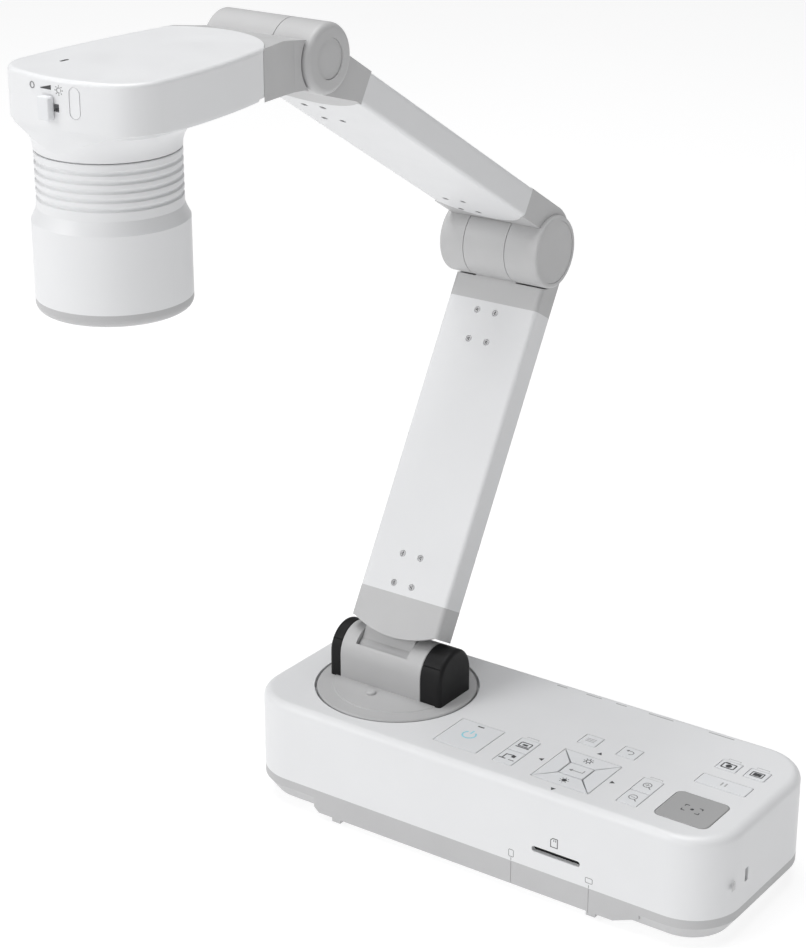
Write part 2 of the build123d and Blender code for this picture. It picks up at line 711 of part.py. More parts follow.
with BuildPart() as upper_tube:
    add(tube(UPPER, UPPER_MID, UPPER_TUBE_START, UPPER_TUBE_END))
    with BuildSketch(face_plane(UPPER, UPPER_UNDER)):
        add(curved_end(UPPER_TUBE_START + 0.01, UPPER_TONGUE))
    extrude(amount=-TUBE_WALL)
    with BuildSketch(face_plane(UPPER, UPPER_UNDER)):
        add(curved_end(UPPER_TUBE_END, UPPER_NOTCH))
    extrude(amount=-TUBE_WALL, mode=Mode.SUBTRACT)
    with BuildSketch(face_plane(UPPER, UPPER_UNDER)):
        with Locations(*screw_places(UPPER_SCREW_X, UPPER_SCREWS)):
            Circle(SCREW_SHANK_R + 0.15)
    extrude(amount=-TUBE_WALL, mode=Mode.SUBTRACT)
    with BuildSketch(face_plane(UPPER, UPPER_UNDER)):
        with Locations(*screw_places(UPPER_SCREW_X, UPPER_SCREWS)):
            Circle(SCREW_HEAD_R + 0.15)
    extrude(amount=-1.1, mode=Mode.SUBTRACT)
save(upper_tube, "upper_tube")

with BuildPart() as upper_arm_screws:
    add(arm_screws(UPPER, UPPER_UNDER, screw_places(UPPER_SCREW_X, UPPER_SCREWS)))
save(upper_arm_screws, "upper_arm_screws")

with BuildPart() as elbow_bracket:
    # slab that runs over the barrel and down its back
    with BuildSketch(UPPER.offset(-ARM_WIDTH / 2)):
        with BuildLine():
            Polyline((12, UPPER_UNDER), (UPPER_TUBE_START, UPPER_UNDER),
                     (UPPER_TUBE_START, UPPER_TOP), (6, UPPER_TOP))
            ThreePointArc((6, UPPER_TOP), (-3, -20.9), (-9.5, -17.0))
            Polyline((-9.5, -17.0), (0, 0), (12, UPPER_UNDER))
        make_face()
    extrude(amount=ARM_WIDTH)
    fillet(elbow_bracket.faces().sort_by(Axis.X)[-1].edges().group_by(SortBy.LENGTH)[-1], 1.2)
    fillet(elbow_bracket.faces().sort_by(Axis.X)[0].edges().group_by(SortBy.LENGTH)[-1], 1.2)
    # recess for the tube's tongue
    with BuildSketch(face_plane(UPPER, UPPER_UNDER)):
        add(curved_end(UPPER_TUBE_START, UPPER_TONGUE + 0.3))
    extrude(amount=-TUBE_WALL - 0.1, mode=Mode.SUBTRACT)
    # spigot in the tube
    with BuildSketch(slice_plane(UPPER, UPPER_TUBE_START - 4)):
        with Locations((0, -UPPER_MID)):
            arm_section(TUBE_WALL + 0.15)
    extrude(amount=SPIGOT - 4)
    # outer segments of the elbow barrel
    for start, end in ((-ELBOW_HALF, ELBOW_MID_LEFT - GAP), (ELBOW_MID_RIGHT + GAP, ELBOW_HALF)):
        with BuildSketch(UPPER.offset(start)):
            Circle(ELBOW_R)
        extrude(amount=end - start)
    for end_face in (elbow_bracket.faces().sort_by(Axis.X)[0], elbow_bracket.faces().sort_by(Axis.X)[-1]):
        fillet(end_face.outer_wire().edges(), 1.5)
    # room for the middle segment
    with BuildSketch(UPPER.offset(ELBOW_MID_LEFT - GAP)):
        Circle(ELBOW_R + 0.45)
        Polygon((-4, 0), (-4, -30), (-30, -30), (-30, 0), align=None)
    extrude(amount=ELBOW_MID_RIGHT - ELBOW_MID_LEFT + 2 * GAP, mode=Mode.SUBTRACT)
    # pin bore, and a recess for the cap at each end
    with BuildSketch(UPPER.offset(-ELBOW_HALF)):
        Circle(PIN_R)
    extrude(amount=2 * ELBOW_HALF, mode=Mode.SUBTRACT)
    with BuildSketch(UPPER.offset(-ELBOW_HALF)):
        Circle(ELBOW_CAP_R + 0.12)
    extrude(amount=1.6, mode=Mode.SUBTRACT)
    with BuildSketch(UPPER.offset(ELBOW_HALF - 1.6)):
        Circle(ELBOW_CAP_R + 0.12)
    extrude(amount=1.6, mode=Mode.SUBTRACT)
    with BuildSketch(face_plane(UPPER, UPPER_UNDER)):
        with Locations(*screw_places(UPPER_SCREW_X, UPPER_SCREWS[:2])):
            Circle(SCREW_SHANK_R + 0.1)
    extrude(amount=-9, mode=Mode.SUBTRACT)
save(elbow_bracket, "elbow_bracket")

with BuildPart() as pivot_bracket:
    with BuildSketch(slice_plane(UPPER, UPPER_TUBE_END)):
        with Locations((0, -UPPER_MID)):
            arm_section(0)
    extrude(amount=PIVOT_ALONG - UPPER_TUBE_END)
    with BuildSketch(UPPER.offset(-ARM_WIDTH / 2)):
        with Locations((PIVOT_ALONG, PIVOT_OUT)):
            Circle(PIVOT_R + 0.6)
            with Locations((20, 0)):
                Rectangle(40, 60)
    extrude(amount=ARM_WIDTH, mode=Mode.SUBTRACT)
    with BuildSketch(slice_plane(UPPER, UPPER_TUBE_END - SPIGOT)):
        with Locations((0, -UPPER_MID)):
            arm_section(TUBE_WALL + 0.15)
    extrude(amount=SPIGOT)
    with BuildSketch(face_plane(UPPER, UPPER_UNDER)):
        add(curved_end(UPPER_TUBE_END + 0.01, UPPER_NOTCH - 0.15))
    extrude(amount=-TUBE_WALL + 0.1)
    # round ear on the +X side, blended into the slab's underside
    with BuildSketch(UPPER.offset(PIVOT_SPLIT + GAP)):
        with Locations(((UPPER_TUBE_END + PIVOT_ALONG) / 2, UPPER_MID)):
            Rectangle(PIVOT_ALONG - UPPER_TUBE_END, ARM_THICK)
        Polygon((UPPER_TUBE_END + 4, UPPER_UNDER), (PIVOT_ALONG - 4, PIVOT_OUT + PIVOT_R - 0.6),
                (PIVOT_ALONG - 4, UPPER_UNDER), align=None)
    extrude(amount=ARM_WIDTH / 2 - PIVOT_SPLIT - GAP)
    with BuildSketch(UPPER.offset(PIVOT_SPLIT + GAP)):
        with Locations((PIVOT_ALONG, PIVOT_OUT)):
            Circle(PIVOT_R)
    extrude(amount=PIVOT_RIGHT - PIVOT_SPLIT - GAP)
    fillet(pivot_bracket.faces().sort_by(Axis.X)[-1].outer_wire().edges(), 2.8)
    with BuildSketch(UPPER.offset(PIVOT_SPLIT + GAP)):
        with Locations((PIVOT_ALONG, PIVOT_OUT)):
            Circle(PIN_R)
    extrude(amount=PIVOT_RIGHT, mode=Mode.SUBTRACT)
    with BuildSketch(UPPER.offset(PIVOT_RIGHT - 1.8)):
        with Locations((PIVOT_ALONG, PIVOT_OUT)):
            Circle(PIVOT_CAP_R + 0.12)
    extrude(amount=1.8, mode=Mode.SUBTRACT)
    with BuildSketch(face_plane(UPPER, UPPER_UNDER)):
        with Locations(*screw_places(UPPER_SCREW_X, UPPER_SCREWS[2:])):
            Circle(SCREW_SHANK_R + 0.1)
    extrude(amount=-9, mode=Mode.SUBTRACT)
save(pivot_bracket, "pivot_bracket")

PIVOT = UPPER.offset(0)
PIVOT.origin = PIVOT_POINT

with BuildPart() as hinge_pins:
    with BuildSketch(UPPER.offset(-ELBOW_HALF + 1.6)):
        Circle(PIN_R)
    extrude(amount=2 * ELBOW_HALF - 3.2)
    with BuildSketch(PIVOT.offset(PIVOT_LEFT + 4)):
        Circle(PIN_R)
    extrude(amount=PIVOT_RIGHT - PIVOT_LEFT - 5.8)
save(hinge_pins, "hinge_pins")

with BuildPart() as joint_caps:
    with BuildSketch(UPPER.offset(-ELBOW_HALF + 0.3)):
        Circle(ELBOW_CAP_R)
    extrude(amount=1.3)
    with BuildSketch(UPPER.offset(ELBOW_HALF - 1.6)):
        Circle(ELBOW_CAP_R)
    extrude(amount=1.3)
    with BuildSketch(PIVOT.offset(PIVOT_RIGHT - 1.8)):
        Circle(PIVOT_CAP_R)
    extrude(amount=1.2)
save(joint_caps, "joint_caps")

# Head -------------------------------------------------------------------------------------------


def head_plane(z):
    """Level plane with its origin on the lens axis; local y points to the back of the head."""
    return Plane(origin=(DISC_X, LENS_Y, z))


def head_outline(inset):
    """Plan of the head: bowed front, round corners, tapering sides and a bowed, slanting rear edge."""
    with BuildSketch(mode=Mode.PRIVATE) as plan:
        with BuildLine():
            ThreePointArc((-22.5, HEAD_FRONT + 3.5), (0, HEAD_FRONT), (24, HEAD_FRONT + 3.5))
            ThreePointArc((24, HEAD_FRONT + 3.5), (34.2, -20.5), (HEAD_RIGHT, -8))
            ThreePointArc((HEAD_RIGHT, -8), (HEAD_RIGHT - 0.4, 26), HEAD_REAR_RIGHT)
            ThreePointArc(HEAD_REAR_RIGHT, HEAD_REAR_MIDDLE, HEAD_REAR_LEFT)
            ThreePointArc(HEAD_REAR_LEFT, (-35.2, 32), (HEAD_LEFT, -8))
            ThreePointArc((HEAD_LEFT, -8), (-32.7, -20.5), (-22.5, HEAD_FRONT + 3.5))
        make_face()
        if inset > 0:
            offset(amount=-inset, kind=Kind.INTERSECTION)
    return plan.sketch


with BuildPart() as head_cover:
    with BuildSketch(head_plane(HEAD_WALL_BOTTOM)):
        add(head_outline(0))
    extrude(amount=HEAD_TOP - HEAD_WALL_BOTTOM)
    fillet(head_cover.faces().sort_by(Axis.Z)[-1].edges().sort_by(Axis.Y)[:-1], 1.9)
    with BuildSketch(head_plane(HEAD_WALL_BOTTOM)):
        add(head_outline(2.2))
    extrude(amount=HEAD_TOP - HEAD_WALL_BOTTOM - 2.2, mode=Mode.SUBTRACT)
    # slot of the lamp slider, and the seat of the plug beside it
    with BuildSketch(Plane.XZ.offset(-LENS_Y - HEAD_FRONT - 4)):
        with Locations((DISC_X + KNOB_X, KNOB_Z)):
            Rectangle(10.4, 3.2)
        with Locations((DISC_X + PLUG_X, PLUG_Z)):
            SlotOverall(12.6, 5.2, rotation=90)
    extrude(amount=8, mode=Mode.SUBTRACT)
save(head_cover, "head_cover")

with BuildPart() as head_base:
    # flared neck under the head
    with BuildSketch(Plane(origin=(DISC_X, LENS_Y, 0), x_dir=(1, 0, 0), z_dir=(0, -1, 0))):
        with BuildLine():
            Polyline((COLLAR_R + GAP, HEAD_WALL_BOTTOM), (COLLAR_R + GAP, GRIP_TOP + GAP),
                     (GRIP_R - 0.5, GRIP_TOP + GAP), (GRIP_R, GRIP_TOP + GAP + 0.5))
            ThreePointArc((GRIP_R, GRIP_TOP + GAP + 0.5), (GRIP_R + 0.3 * FLARE, GRIP_TOP + 9.4),
                          (GRIP_R + FLARE, HEAD_WALL_BOTTOM))
            Line((GRIP_R + FLARE, HEAD_WALL_BOTTOM), (COLLAR_R + GAP, HEAD_WALL_BOTTOM))
        make_face()
    revolve(axis=Axis((DISC_X, LENS_Y, 0), (0, 0, 1)))
    with BuildSketch(head_plane(GRIP_TOP)):
        add(head_outline(0.8))
    extrude(amount=20, mode=Mode.INTERSECT)
    with BuildSketch(head_plane(HEAD_WALL_BOTTOM - 2.0)):
        add(head_outline(2.4))
        Circle(COLLAR_R + GAP, mode=Mode.SUBTRACT)
    extrude(amount=4.2)
save(head_base, "head_base")

with BuildPart() as head_plug:
    with BuildSketch(Plane.XZ.offset(-LENS_Y - HEAD_FRONT - 2.4)):
        with Locations((DISC_X + PLUG_X, PLUG_Z)):
            SlotOverall(12.4, 5.0, rotation=90)
    extrude(amount=1.6)
save(head_plug, "head_plug")

neck_left, neck_middle, neck_right = [
    (x, y + 0.2) for x, y in (HEAD_REAR_LEFT, HEAD_REAR_MIDDLE, HEAD_REAR_RIGHT)
]

with BuildPart() as neck_bracket:
    with BuildSketch(head_plane(390)):
        with BuildLine():
            ThreePointArc(neck_right, neck_middle, neck_left)
            Polyline(neck_left, (PIVOT_LEFT, 88), (PIVOT_LEFT, PIVOT_POINT.Y - LENS_Y),
                     (NECK_RIGHT, PIVOT_POINT.Y - LENS_Y), (NECK_RIGHT, 86), neck_right)
        make_face()
    extrude(amount=40)
    # side view: its top falls to a crease in front of the knuckle
    with BuildSketch(yz_plane(HEAD_LEFT)):
        with BuildLine():
            Polyline((LENS_Y + 50, 393.4), (LENS_Y + 78, 392.2), (LENS_Y + 92, 391.2),
                     (PIVOT_POINT.Y, 388), (PIVOT_POINT.Y, PIVOT_POINT.Z + 6),
                     (LENS_Y + 95, 412.2), (LENS_Y + 84, 413.8), (LENS_Y + 76, 415.0),
                     (LENS_Y + 50, 415.0), (LENS_Y + 50, 393.4))
        make_face()
    extrude(amount=HEAD_RIGHT - HEAD_LEFT, mode=Mode.INTERSECT)
    # knuckle, and room for the arm's ear
    with BuildSketch(PIVOT.offset(PIVOT_SPLIT)):
        Circle(PIVOT_R + 1.0)
    extrude(amount=HEAD_RIGHT, mode=Mode.SUBTRACT)
    with BuildSketch(PIVOT.offset(PIVOT_LEFT)):
        Circle(PIVOT_R)
    extrude(amount=PIVOT_SPLIT - PIVOT_LEFT)
    with BuildSketch(PIVOT.offset(PIVOT_LEFT + 4)):
        Circle(PIN_R + FIT)
    extrude(amount=PIVOT_RIGHT - PIVOT_LEFT, mode=Mode.SUBTRACT)
save(neck_bracket, "neck_bracket")

with BuildPart() as camera_board:
    with BuildSketch(head_plane(405)):
        Circle(24)
        with Locations((0, 34)):
            Rectangle(30, 30)
    extrude(amount=1.6)
    with BuildSketch(head_plane(402)):
        Rectangle(12, 12)
    extrude(amount=3)
save(camera_board, "camera_board")

# Lens barrel ------------------------------------------------------------------------------------

LENS_AXIS = Axis((DISC_X, LENS_Y, 0), (0, 0, 1))
BARREL_SECTION = Plane(origin=(DISC_X, LENS_Y, 0), x_dir=(1, 0, 0), z_dir=(0, -1, 0))

with BuildPart() as lens_barrel:
    with BuildSketch(BARREL_SECTION) as barrel_outline:
        with BuildLine():
            Line((GRIP_R - 3, GRIP_TOP), (GRIP_R, GRIP_TOP))
            Line((GRIP_R, GRIP_TOP), (GRIP_R, HOOD_SHOULDER + 5.4))
            ThreePointArc((GRIP_R, HOOD_SHOULDER + 5.4), (GRIP_R + 1.2, HOOD_SHOULDER + 2.4),
                          (HOOD_R, HOOD_SHOULDER))
            Polyline((HOOD_R, HOOD_SHOULDER), (HOOD_R, HOOD_BOTTOM), (HOOD_R - 2.4, HOOD_BOTTOM),
                     (HOOD_R - 2.4, HOOD_SHOULDER - 1), (GRIP_R - 3, HOOD_SHOULDER + 4),
                     (GRIP_R - 3, GRIP_TOP))
        make_face()
        for number in range(1, GROOVE_COUNT + 1):
            with Locations((GRIP_R - 0.1, GRIP_TOP - number * GROOVE_PITCH)):
                Circle(GROOVE_R, mode=Mode.SUBTRACT)
        # rounded ribs
        fillet([v for v in barrel_outline.vertices()
                if abs(v.X - GRIP_R) < 0.01 and v.Y > HOOD_SHOULDER + 6], 0.5)
        # collar that runs in the head
        with Locations((COLLAR_R - 1.2, GRIP_TOP + 6.9)):
            Rectangle(2.4, 21.0)
        with Locations((COLLAR_R + 0.6, GRIP_TOP - 1.2)):
            Rectangle(6, 2.4)
    revolve(axis=LENS_AXIS)
save(lens_barrel, "lens_barrel")

with BuildPart() as barrel_clip:
    with BuildSketch(head_plane(HEAD_WALL_BOTTOM + 2.6)):
        Circle(COLLAR_R + 2.4)
        Circle(COLLAR_R + 0.02, mode=Mode.SUBTRACT)
    extrude(amount=1.2)
save(barrel_clip, "barrel_clip")

with BuildPart() as hood_ring:
    with BuildSketch(BARREL_SECTION):
        with BuildLine():
            Line((HOOD_R, HOOD_BOTTOM), (HOOD_R, HOOD_BOTTOM - 1.6))
            ThreePointArc((HOOD_R, HOOD_BOTTOM - 1.6), (HOOD_R - 0.9, RING_BOTTOM + 1.2),
                          (HOOD_R - 3, RING_BOTTOM))
            Polyline((HOOD_R - 3, RING_BOTTOM), (HOOD_R - 5.4, RING_BOTTOM + 0.6),
                     (HOOD_R - 5.4, HOOD_BOTTOM), (HOOD_R, HOOD_BOTTOM))
        make_face()
    revolve(axis=LENS_AXIS)
save(hood_ring, "hood_ring")

with BuildPart() as front_window:
    with BuildSketch(head_plane(RING_BOTTOM + 2.2)):
        Circle(HOOD_R - 5.5)
    extrude(amount=1.6)
save(front_window, "front_window")

with BuildPart() as lens_cell:
    with BuildSketch(head_plane(RING_BOTTOM + 6)):
        Circle(HOOD_R - 2.6)
        Circle(11.5, mode=Mode.SUBTRACT)
    extrude(amount=2)
    with BuildSketch(head_plane(RING_BOTTOM + 6)):
        Circle(14)
        Circle(11.5, mode=Mode.SUBTRACT)
    extrude(amount=50)
save(lens_cell, "lens_cell")

with BuildPart() as front_lens:
    with BuildSketch(BARREL_SECTION):
        with Locations((0, RING_BOTTOM + 5.2 + LENS_CURVE)):
            Circle(LENS_CURVE)
        with Locations((LENS_R / 2, RING_BOTTOM + 8)):
            Rectangle(LENS_R, 6, mode=Mode.INTERSECT)
    revolve(axis=LENS_AXIS)
save(front_lens, "front_lens")

with BuildPart() as lamp:
    with BuildSketch(head_plane(RING_BOTTOM + 4.2)):
        with Locations((0, -21)):
            SlotOverall(20, 6)
    extrude(amount=1.7)
save(lamp, "lamp")

with BuildPart() as lamp_slider:
    with BuildSketch(Plane.XZ.offset(-LENS_Y - HEAD_FRONT + 0.7)):
        with Locations((DISC_X + KNOB_X, KNOB_Z)):
            RectangleRounded(6.0, 9.4, 1.0)
    extrude(amount=3.0)
    fillet(lamp_slider.faces().sort_by(Axis.Y)[0].edges(), 0.7)
    with BuildSketch(Plane.XZ.offset(-LENS_Y - HEAD_FRONT - 4.6)):
        with Locations((DISC_X + KNOB_X, KNOB_Z)):
            Rectangle(2.6, 2.6)
    extrude(amount=5.5)
    with BuildSketch(Plane.XZ.offset(-LENS_Y - HEAD_FRONT - 5.4)):
        with Locations((DISC_X + KNOB_X, KNOB_Z)):
            Rectangle(6, 7)
    extrude(amount=1.2)
save(lamp_slider, "lamp_slider")

# Keys -------------------------------------------------------------------------------------------

switch_places = []


def key_piece(outline, flange, stem, node):
    """Key cap in its opening, a flange that stops it under the cover, and its stem."""
    with BuildPart() as key:
        with BuildSketch(Plane.XY.offset(KEY_BOTTOM)):
            add(outline)
        extrude(amount=KEY_TOP - KEY_BOTTOM)
        chamfer(key.faces().sort_by(Axis.Z)[-1].edges(), 0.25)
        if flange:
            with BuildSketch(Plane.XY.offset(KEY_BOTTOM)):
                for x, y, w, h in flange:
                    with Locations((x, y)):
                        Rectangle(w, h)
            extrude(amount=KEY_FLANGE_TOP - KEY_BOTTOM)
        with BuildSketch(Plane.XY.offset(KEY_STEM_BOTTOM)):
            with Locations(stem):
                Circle(1.5)
        extrude(amount=KEY_BOTTOM - KEY_STEM_BOTTOM + 0.1)
    save(key, node)
    switch_places.append(stem)


def cap_outline(x, y, w, h, r):
    with BuildSketch(mode=Mode.PRIVATE) as cap:
        with Locations((x, y)):
            RectangleRounded(w - 2 * GAP, h - 2 * GAP, max(r - GAP, 0.4))
    return cap.sketch


for node, (x, y, w, h, r) in SINGLE_KEYS.items():
    straight = h - 2 * r - 2
    side = w / 2 - GAP + KEY_FLANGE / 2
    flange = [(x - side, y, KEY_FLANGE + 0.6, straight), (x + side, y, KEY_FLANGE + 0.6, straight)]
    key_piece(cap_outline(x, y, w, h, r), flange, (x, y), node)

for x, y, w, h, names in PAIR_KEYS.values():
    for node, up in zip(names, (1, -1)):
        middle = y + up * h / 4
        side = w / 2 - GAP + KEY_FLANGE / 2
        flange = [(x - side, middle, KEY_FLANGE + 0.6, 8), (x + side, middle, KEY_FLANGE + 0.6, 8)]
        key_piece(cap_outline(x, middle, w, h / 2 + GAP / 2, 0.6), flange, (x, middle), node)


def arrow_outline(turns):
    """One quarter of the square pad around the enter key, turned by quarter turns."""
    outer = PAD_SIZE / 2 - GAP
    inner_x, inner_y = (ENTER_W / 2, ENTER_H / 2) if turns % 2 == 0 else (ENTER_H / 2, ENTER_W / 2)
    slit = 0.25
    with BuildSketch(mode=Mode.PRIVATE) as quarter:
        with Locations(Location((PAD_X, PAD_Y), (0, 0, 1), 90 * turns)):
            Polygon((slit - outer, outer), (outer - slit, outer),
                    (inner_x - slit, inner_y + GAP), (slit - inner_x, inner_y + GAP), align=None)
    return quarter.sketch


for turns, node in enumerate(("key_up", "key_left", "key_down", "key_right")):
    reach = (PAD_SIZE / 2 + ENTER_H / 2) / 2
    turned = Vector(0, reach).rotate(Axis.Z, 90 * turns)
    rim = Vector(0, PAD_SIZE / 2 - GAP + KEY_FLANGE / 2).rotate(Axis.Z, 90 * turns)
    long_way = (20, KEY_FLANGE + 0.6) if turns % 2 == 0 else (KEY_FLANGE + 0.6, 20)
    flange = [(PAD_X + rim.X, PAD_Y + rim.Y, *long_way)]
    key_piece(arrow_outline(turns), flange, (PAD_X + turned.X, PAD_Y + turned.Y), node)

key_piece(
    cap_outline(PAD_X, PAD_Y, ENTER_W, ENTER_H, 0.8), [], (PAD_X, PAD_Y), "key_enter"
)

with BuildPart() as key_switches:
    with BuildSketch(Plane.XY.offset(KEY_BOARD_BOTTOM + BOARD_THICK)):
        with Locations(*switch_places):
            Rectangle(4.5, 4.5)
    extrude(amount=1.6)
    with BuildSketch(Plane.XY.offset(KEY_BOARD_BOTTOM + BOARD_THICK + 1.6)):
        with Locations(*switch_places):
            Circle(1.6)
    extrude(amount=0.9)
save(key_switches, "key_switches")
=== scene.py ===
import json
from math import cos, hypot, pi, radians, sin

import bmesh
import bpy
from mathutils import Matrix, Vector


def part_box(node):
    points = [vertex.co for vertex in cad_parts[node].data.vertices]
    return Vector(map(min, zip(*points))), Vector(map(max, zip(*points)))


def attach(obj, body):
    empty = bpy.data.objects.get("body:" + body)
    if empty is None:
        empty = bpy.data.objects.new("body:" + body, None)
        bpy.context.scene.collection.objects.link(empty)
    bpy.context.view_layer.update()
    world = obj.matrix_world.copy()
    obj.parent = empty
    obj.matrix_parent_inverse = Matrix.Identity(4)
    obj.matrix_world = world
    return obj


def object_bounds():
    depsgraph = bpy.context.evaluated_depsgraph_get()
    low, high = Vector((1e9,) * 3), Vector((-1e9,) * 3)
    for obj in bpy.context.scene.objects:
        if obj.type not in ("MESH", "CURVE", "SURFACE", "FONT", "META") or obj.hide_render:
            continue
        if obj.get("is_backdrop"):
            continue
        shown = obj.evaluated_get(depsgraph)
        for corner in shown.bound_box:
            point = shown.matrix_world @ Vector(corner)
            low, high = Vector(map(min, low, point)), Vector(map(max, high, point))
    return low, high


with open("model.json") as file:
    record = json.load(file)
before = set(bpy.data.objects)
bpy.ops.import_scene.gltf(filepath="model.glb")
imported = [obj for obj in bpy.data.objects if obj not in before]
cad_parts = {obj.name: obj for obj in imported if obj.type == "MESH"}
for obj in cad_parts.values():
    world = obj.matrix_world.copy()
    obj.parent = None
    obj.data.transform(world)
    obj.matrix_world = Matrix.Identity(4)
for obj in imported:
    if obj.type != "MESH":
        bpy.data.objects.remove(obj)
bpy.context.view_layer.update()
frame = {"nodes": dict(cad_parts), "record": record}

# Document camera: the looks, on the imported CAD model. Metres, in the CAD's frame, +Z up.

MM = 0.001
scene = bpy.context.scene

# Camera -----------------------------------------------------------------------------------------

camera = bpy.data.objects.new("camera", bpy.data.cameras.new("camera"))
scene.collection.objects.link(camera)
camera.location = (0.5544, -0.8859, 0.6145)
camera.rotation_euler = (radians(68.02), 0, radians(35.32))
camera.data.lens = 89.83
camera.data.sensor_width = 36
camera.data.clip_end = 60
scene.camera = camera

# Floor and light --------------------------------------------------------------------------------

scene.view_settings.view_transform = "Standard"


def nodes_of(holder):
    holder.use_nodes = True
    holder.node_tree.nodes.clear()
    return holder.node_tree.nodes, holder.node_tree.links


def studio_world(ambient, backdrop):
    """Even white surroundings: a soft ambient for the object, and a paler wall behind it."""
    world = bpy.data.worlds.new("studio")
    scene.world = world
    nodes, links = nodes_of(world)
    path = nodes.new("ShaderNodeLightPath")
    soft = nodes.new("ShaderNodeBackground")
    soft.inputs["Color"].default_value = (0.985, 0.99, 1.0, 1)
    soft.inputs["Strength"].default_value = ambient
    wall = nodes.new("ShaderNodeBackground")
    wall.inputs["Color"].default_value = (1, 1, 1, 1)
    wall.inputs["Strength"].default_value = backdrop
    mix = nodes.new("ShaderNodeMixShader")
    output = nodes.new("ShaderNodeOutputWorld")
    links.new(path.outputs["Is Camera Ray"], mix.inputs[0])
    links.new(soft.outputs[0], mix.inputs[1])
    links.new(wall.outputs[0], mix.inputs[2])
    links.new(mix.outputs[0], output.inputs[0])


def softbox(name, place, target, width, height, watts):
    lamp = bpy.data.lights.new(name, "AREA")
    lamp.shape = "RECTANGLE"
    lamp.size = width
    lamp.size_y = height
    lamp.energy = watts
    holder = bpy.data.objects.new(name, lamp)
    scene.collection.objects.link(holder)
    holder.location = place
    aim = Vector(target) - Vector(place)
    holder.rotation_euler = aim.to_track_quat("-Z", "Y").to_euler()


studio_world(ambient=0.20, backdrop=1.0)
softbox("key_light", (-1.5, -2.3, 1.7), (-0.02, -0.05, 0.2), 1.6, 1.6, 27)
softbox("top_light", (-0.3, -0.1, 2.4), (0, -0.05, 0.1), 1.8, 1.8, 43)
softbox("front_fill", (0.7, -2.6, 0.8), (0, -0.05, 0.15), 1.2, 1.2, 11)
softbox("rim_light", (1.4, 1.8, 1.2), (0, 0, 0.2), 1.0, 1.0, 0.5)

FLOOR_HALF = 22.0
floor_mesh = bpy.data.meshes.new("floor")
floor_mesh.from_pydata(
    [(x * FLOOR_HALF, y * FLOOR_HALF, 0) for x, y in ((-1, -1), (1, -1), (1, 1), (-1, 1))],
    [], [(0, 1, 2, 3)])
floor = bpy.data.objects.new("floor", floor_mesh)
scene.collection.objects.link(floor)
floor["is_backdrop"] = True

# Materials --------------------------------------------------------------------------------------

MIX_COLOURS = (6, 7)    # a colour Mix node's two inputs, and its output
MIX_RESULT = 2


class Finish:
    """A procedural material on the object's own coordinates, in metres."""

    def __init__(self, name):
        self.material = bpy.data.materials.new(name)
        self.nodes, self.links = nodes_of(self.material)
        self.shader = self.nodes.new("ShaderNodeBsdfPrincipled")
        output = self.nodes.new("ShaderNodeOutputMaterial")
        self.links.new(self.shader.outputs[0], output.inputs["Surface"])
        self.place = self.nodes.new("ShaderNodeTexCoord").outputs["Object"]

    def set(self, **values):
        for key, value in values.items():
            self.shader.inputs[key.replace("_", " ")].default_value = value

    def stretched(self, scale):
        mapping = self.nodes.new("ShaderNodeMapping")
        mapping.inputs["Scale"].default_value = scale
        self.links.new(self.place, mapping.inputs["Vector"])
        return mapping.outputs[0]

    def noise(self, size, detail=3.0, place=None, roughness=0.5):
        """Cloudy noise whose blobs are about size metres across."""
        node = self.nodes.new("ShaderNodeTexNoise")
        node.inputs["Scale"].default_value = 1 / size
        node.inputs["Detail"].default_value = detail
        node.inputs["Roughness"].default_value = roughness
        self.links.new(place or self.place, node.inputs["Vector"])
        return node.outputs[0]

    def cells(self, size, feature="F1"):
        """Distance to the nearest cell point, the points about size metres apart."""
        node = self.nodes.new("ShaderNodeTexVoronoi")
        node.feature = feature
        node.inputs["Scale"].default_value = 1 / size
        self.links.new(self.place, node.inputs["Vector"])
        return node.outputs["Distance"]

    def remap(self, value, low, high, start=0.3, end=0.7):
        """Takes start..end of a value to low..high; the defaults hold most of a noise."""
        node = self.nodes.new("ShaderNodeMapRange")
        node.inputs["From Min"].default_value = start
        node.inputs["From Max"].default_value = end
        node.inputs["To Min"].default_value = low
        node.inputs["To Max"].default_value = high
        self.links.new(value, node.inputs["Value"])
        return node.outputs[0]

    def blend(self, factor, first, second):
        """Mixes two colours, each a socket or a triple, by a factor socket."""
        node = self.nodes.new("ShaderNodeMix")
        node.data_type = "RGBA"
        self.links.new(factor, node.inputs[0])
        for index, colour in zip(MIX_COLOURS, (first, second)):
            if isinstance(colour, tuple):
                node.inputs[index].default_value = (*colour, 1)
            else:
                self.links.new(colour, node.inputs[index])
        return node.outputs[MIX_RESULT]

    def maths(self, operation, first, second):
        """A maths node on two values, each a socket or a number."""
        node = self.nodes.new("ShaderNodeMath")
        node.operation = operation
        for index, value in enumerate((first, second)):
            if isinstance(value, (int, float)):
                node.inputs[index].default_value = value
            else:
                self.links.new(value, node.inputs[index])
        return node.outputs[0]

    def colour(self, socket):
        self.links.new(socket, self.shader.inputs["Base Color"])

    def rough(self, socket):
        self.links.new(socket, self.shader.inputs["Roughness"])

    def bumps(self, *layers):
        """Stacks bumps, each (height socket, strength, depth in metres)."""
        normal = None
        for height, strength, depth in layers:
            node = self.nodes.new("ShaderNodeBump")
            node.inputs["Strength"].default_value = strength
            node.inputs["Distance"].default_value = depth
            self.links.new(height, node.inputs["Height"])
            if normal:
                self.links.new(normal, node.inputs["Normal"])
            normal = node.outputs[0]
        self.links.new(normal, self.shader.inputs["Normal"])


def scaled(colour, factor):
    return tuple(min(1.0, c * factor) for c in colour)


